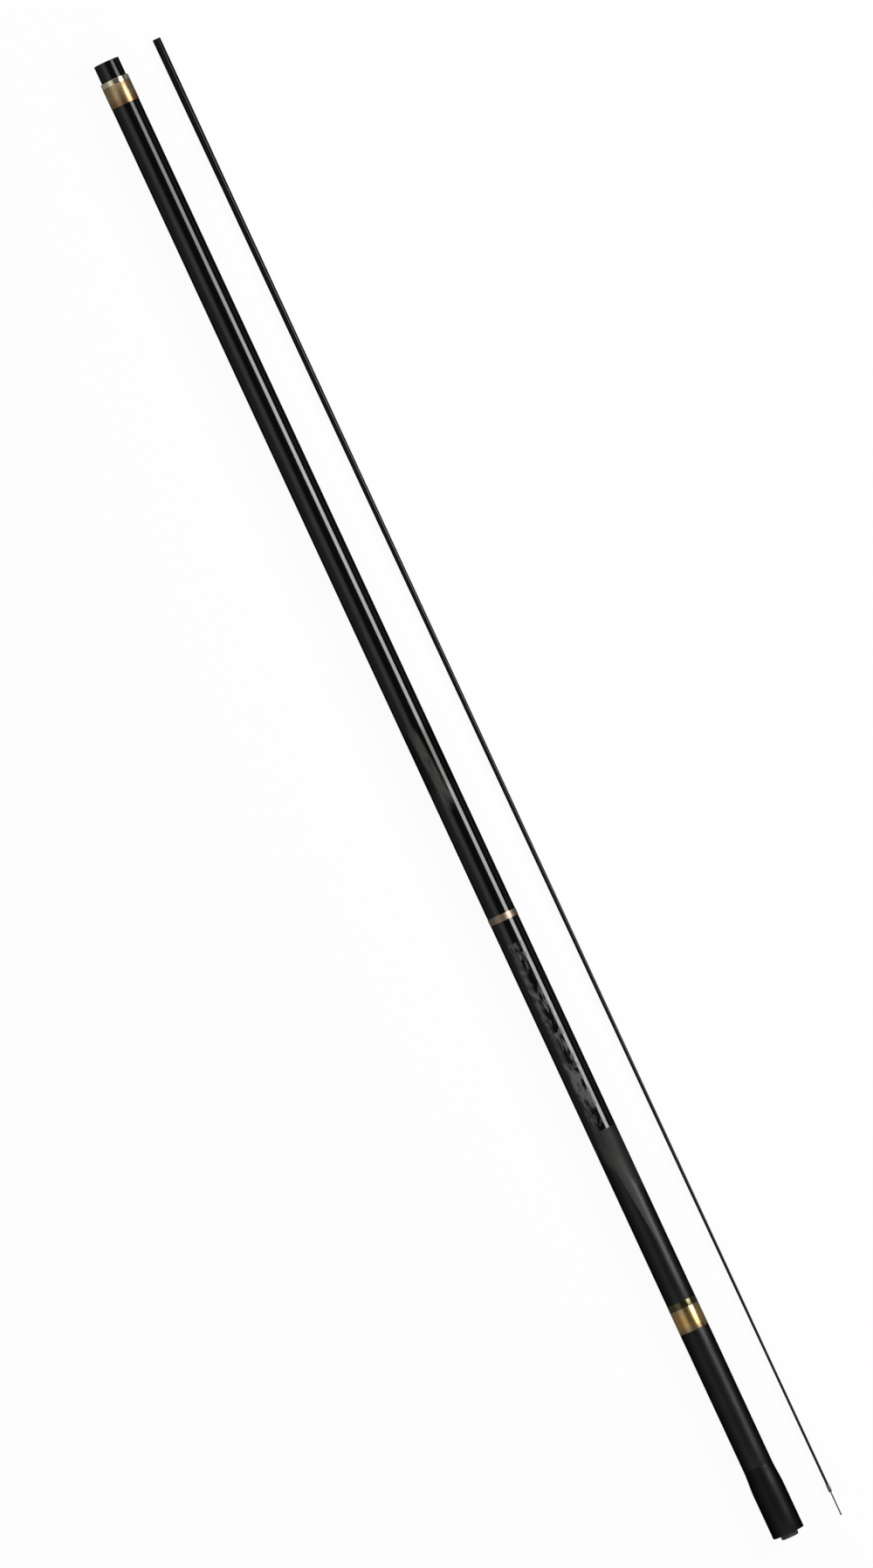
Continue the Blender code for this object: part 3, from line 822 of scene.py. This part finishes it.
def make_cap_and_collar(paints):
    """The screw cap and the collar. The knob lies behind the collar, whose bore is its narrowest part."""
    cap_outline, _ = outline_of("butt_cap", ROD_AXIS)
    collar_outline, _ = outline_of("butt_collar", ROD_AXIS)
    shank = max(radius for _, radius in cap_outline)
    knob = max(radius for x, radius in cap_outline if x < ROD_REAR)
    knob_front = min(x for x, radius in cap_outline if radius > knob + SAME_PLACE) - ROD_REAR
    bore = min(radius for _, radius in collar_outline)

    def cap_shape(x, radius, angle):
        place = x - ROD_REAR
        if place < knob_front:
            return min(radius, flute_radius(knob, angle))
        if place > CAP_THREAD[1]:
            return min(radius, shank - 2 * THREAD_SWING)
        if radius > shank - SAME_PLACE:
            rise, sink = run_out(place, CAP_THREAD)
            swing = thread_swing(x, angle) * (1 - sink) - THREAD_SWING * sink
            return radius + rise * (swing - THREAD_SWING)
        return radius

    def collar_shape(x, radius, angle):
        if abs(radius - bore) < SAME_PLACE:
            rise, sink = run_out(x - ROD_REAR, COLLAR_THREAD)
            return radius + rise * (1 - sink) * (thread_swing(x, angle) - THREAD_SWING)
        return radius

    def cap_spacing(start, end):
        threaded = min(start.y, end.y) > shank - SAME_PLACE
        return FINE_SPACING if threaded else RING_SPACING

    def collar_spacing(start, end):
        threaded = max(abs(start.y - bore), abs(end.y - bore)) < SAME_PLACE
        return FINE_SPACING if threaded else RING_SPACING

    coats = [paints["collar"], paints["inner_plastic"]]
    turned("butt_collar_turned", "butt_collar", ROD_AXIS, coats, COLLAR_SIDES, MOULDED_EDGE,
           spacing=collar_spacing, reshape=collar_shape)
    cap = turned("screw_cap", "butt_cap", ROD_AXIS, [paints["cap_black"]], CAP_SIDES, MOULDED_EDGE,
                 spacing=cap_spacing, reshape=cap_shape)
    cut_slot(cap, knob)


def flute_radius(knob, angle):
    """How far the knob reaches at this angle, where a finger flute may cut it."""
    middle = knob + FLUTE_RADIUS - FLUTE_DEPTH
    apart = (angle * FLUTES / math.tau) % 1.0 - 0.5
    turn = apart * math.tau / FLUTES
    aside = middle * math.sin(turn)
    if abs(aside) >= FLUTE_RADIUS:
        return knob
    return middle * math.cos(turn) - math.sqrt(FLUTE_RADIUS**2 - aside**2)


def slot_cutter(knob):
    """A bar with the slot's section, across the knob's end and wider where the edges are broken."""
    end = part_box("butt_cap")[0].x
    half = SLOT_WIDTH / 2
    outer = half + SLOT_CHAMFER + CUTTER_PAST_END
    section = [
        (end + SLOT_DEPTH, -half),
        (end + SLOT_DEPTH, half),
        (end + SLOT_CHAMFER, half),
        (end - CUTTER_PAST_END, outer),
        (end - CUTTER_PAST_END, -outer),
        (end + SLOT_CHAMFER, -half),
    ]
    shape = bmesh.new()
    reach = CUTTER_REACH * knob
    ends = []
    for y in (-reach, reach):
        ends.append([shape.verts.new((x, ROD_AXIS.y + y, ROD_AXIS.z + z)) for x, z in section])
    shape.faces.new(ends[0])
    shape.faces.new(reversed(ends[1]))
    for i in range(len(section)):
        j = (i + 1) % len(section)
        shape.faces.new((ends[0][i], ends[0][j], ends[1][j], ends[1][i]))
    bmesh.ops.recalc_face_normals(shape, faces=shape.faces)
    mesh = bpy.data.meshes.new("slot_cutter")
    shape.to_mesh(mesh)
    shape.free()
    cutter = bpy.data.objects.new("slot_cutter", mesh)
    bpy.context.scene.collection.objects.link(cutter)
    return cutter


def cut_slot(cap, knob):
    """Cuts the coin slot into the knob's end."""
    cutter = slot_cutter(knob)
    boolean = cap.modifiers.new("Slot", "BOOLEAN")
    boolean.operation = "DIFFERENCE"
    boolean.solver = "EXACT"
    boolean.object = cutter
    bpy.context.view_layer.update()
    graph = bpy.context.evaluated_depsgraph_get()
    cut = bpy.data.meshes.new_from_object(cap.evaluated_get(graph))
    cap.modifiers.clear()
    cap.data = cut
    cut.uv_layers.remove(cut.uv_layers["OFBake"])
    cut.set_sharp_from_angle(angle=SHARP_ANGLE)
    bpy.data.objects.remove(cutter)


# The pieces

def make_listed(pieces, paints):
    """The round pieces of one list, all about the rod's axis."""
    for name, node, coats, edge in pieces:
        turned(name, node, ROD_AXIS, [paints[coat] for coat in coats], TUBE_SIDES, edge)


def make_tip(prefix, node, axis, coat, paints):
    """A tip section, with the sleeve and the turning pin of its line holder."""
    turned(f"{prefix}_blank", node, axis, [paints[coat], paints["carbon"]], THIN_SIDES, TIP_EDGE)
    for part in ("sleeve", "pin"):
        steel = [paints["holder_steel"]]
        turned(f"{prefix}_holder_{part}", f"{prefix}_line_{part}", axis, steel, PIN_SIDES, TIP_EDGE)


def make_pieces():
    """The rod from the outside inwards, and the spare tip."""
    paints = make_paints()
    make_listed(BUTT_PIECES, paints)
    make_cap_and_collar(paints)
    make_listed(INNER_PIECES, paints)
    make_tip("tip", "tip_section", ROD_AXIS, "section", paints)
    make_tip("spare", "spare_tip_section", SPARE_AXIS, "tip", paints)


# Studio

def make_camera():
    """A long lens straight above, placed so that both ends of the rod fall on their pixels."""
    rear = complex(ROD_REAR, ROD_AXIS.y)
    front = complex(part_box("section_7")[1].x, ROD_AXIS.y)
    run = (FRONT_END_PIXEL - COLLAR_REAR_PIXEL).conjugate() / (front - rear)
    middle = complex(PHOTO_WIDTH, PHOTO_HEIGHT) / 2
    centre = rear + (middle - COLLAR_REAR_PIXEL).conjugate() / run
    height = PHOTO_HEIGHT / abs(run)
    data = bpy.data.cameras.new("camera")
    data.lens = LENS
    data.sensor_width = SENSOR
    data.clip_start = CLIP_START
    data.clip_end = CLIP_END
    camera = bpy.data.objects.new("camera", data)
    camera.location = (centre.real, centre.imag, ROD_AXIS.z + height * LENS / SENSOR)
    camera.rotation_euler = (0, 0, -cmath.phase(run))
    bpy.context.scene.collection.objects.link(camera)
    bpy.context.scene.camera = camera


def make_light(name, middle, direction, along, size, distance, radiance):
    """A soft panel that faces a middle point. along is the way that its length runs."""
    data = bpy.data.lights.new(name, "AREA")
    data.shape = "RECTANGLE"
    data.size, data.size_y = size
    data.energy = math.pi * size[0] * size[1] * radiance
    light = bpy.data.objects.new(name, data)
    back = Vector(direction).normalized()
    side = Vector(along).normalized()
    up = back.cross(side)
    place = middle + back * distance
    light.matrix_world = Matrix.Translation(place) @ Matrix((side, up, back)).transposed().to_4x4()
    light.visible_camera = False
    bpy.context.scene.collection.objects.link(light)
    return light


def make_strip():
    """The long light beside the rod, whose brightness changes along it."""
    rear = STRIP_LEVELS[0][0]
    front = STRIP_LEVELS[-1][0]
    middle = ROD_AXIS + Vector(((rear + front) / 2, 0, 0))
    direction = (0, -math.sin(STRIP_ANGLE), math.cos(STRIP_ANGLE))
    size = (front - rear, STRIP_WIDTH)
    data = make_light("strip", middle, direction, (1, 0, 0), size, STRIP_DISTANCE, STRIP_RADIANCE).data
    data.use_nodes = True
    nodes = Nodes(data.node_tree)
    along = nodes.node("SeparateXYZ", [nodes.node("NewGeometry").outputs["Parametric"]]).outputs[0]
    levels = nodes.ramp(along, [((x - rear) / (front - rear), level) for x, level in STRIP_LEVELS])
    nodes.put(nodes.tree.nodes["Emission"].inputs["Strength"], levels)


def make_end_panels():
    """The two soft panels that light the ends of the rod."""
    size = (END_PANEL_SIZE, END_PANEL_SIZE)
    for name, way in (("front_panel", 1), ("rear_panel", -1)):
        direction = (way, 0, END_PANEL_RISE)
        make_light(name, ROD_AXIS, direction, (0, 1, 0), size, END_PANEL_DISTANCE, END_PANEL_RADIANCE)


def make_world():
    """A room whose brightness changes across the rod. The camera sees it white."""
    world = bpy.data.worlds.new("studio")
    world.use_nodes = True
    bpy.context.scene.world = world
    nodes = Nodes(world.node_tree)
    nodes.tree.nodes.clear()
    coords = nodes.node("TexCoord").outputs["Generated"]
    across = nodes.node("SeparateXYZ", [coords]).outputs[1]
    levels = nodes.ramp(nodes.spread(across, -1.0, 1.0), [((y + 1) / 2, level) for y, level in ROOM_LEVELS])
    room = nodes.node("Background", [levels])
    white = nodes.node("Background", [WHITE])
    seen = nodes.node("LightPath").outputs["Is Camera Ray"]
    shader = nodes.node("MixShader", [seen, room.outputs[0], white.outputs[0]])
    nodes.node("OutputWorld", [shader.outputs[0]])


def make_floor():
    """A white floor that keeps a faint shadow, and that reflections show darker."""
    half = FLOOR_SIZE / 2
    corners = [(-half, -half), (half, -half), (half, half), (-half, half)]
    mesh = bpy.data.meshes.new("floor")
    mesh.from_pydata([(x, y, -FLOOR_DROP) for x, y in corners], [], [(0, 1, 2, 3)])
    material = bpy.data.materials.new("floor")
    material.use_nodes = True
    nodes = Nodes(material.node_tree)
    nodes.tree.nodes.clear()
    rays = nodes.node("LightPath").outputs
    seen = nodes.math("MAXIMUM", rays["Is Camera Ray"], rays["Is Glossy Ray"])
    seen = nodes.math("MAXIMUM", seen, rays["Is Transmission Ray"])
    share = nodes.product(seen, 1 - FLOOR_SHADOW_SHARE)
    strength = nodes.math("MULTIPLY_ADD", rays["Is Glossy Ray"], FLOOR_IN_REFLECTIONS - 1, 1.0)
    white = nodes.node("Emission", [WHITE, strength])
    lit = nodes.node("BsdfDiffuse", [FLOOR_COLOUR])
    shader = nodes.node("MixShader", [share, lit.outputs[0], white.outputs[0]])
    nodes.node("OutputMaterial", [shader.outputs[0]])
    mesh.materials.append(material)
    floor = bpy.data.objects.new("floor", mesh)
    bpy.context.scene.collection.objects.link(floor)


def main():
    bpy.context.scene.view_settings.view_transform = "Standard"
    make_camera()
    make_strip()
    make_end_panels()
    make_world()
    make_floor()
    make_pieces()


main()
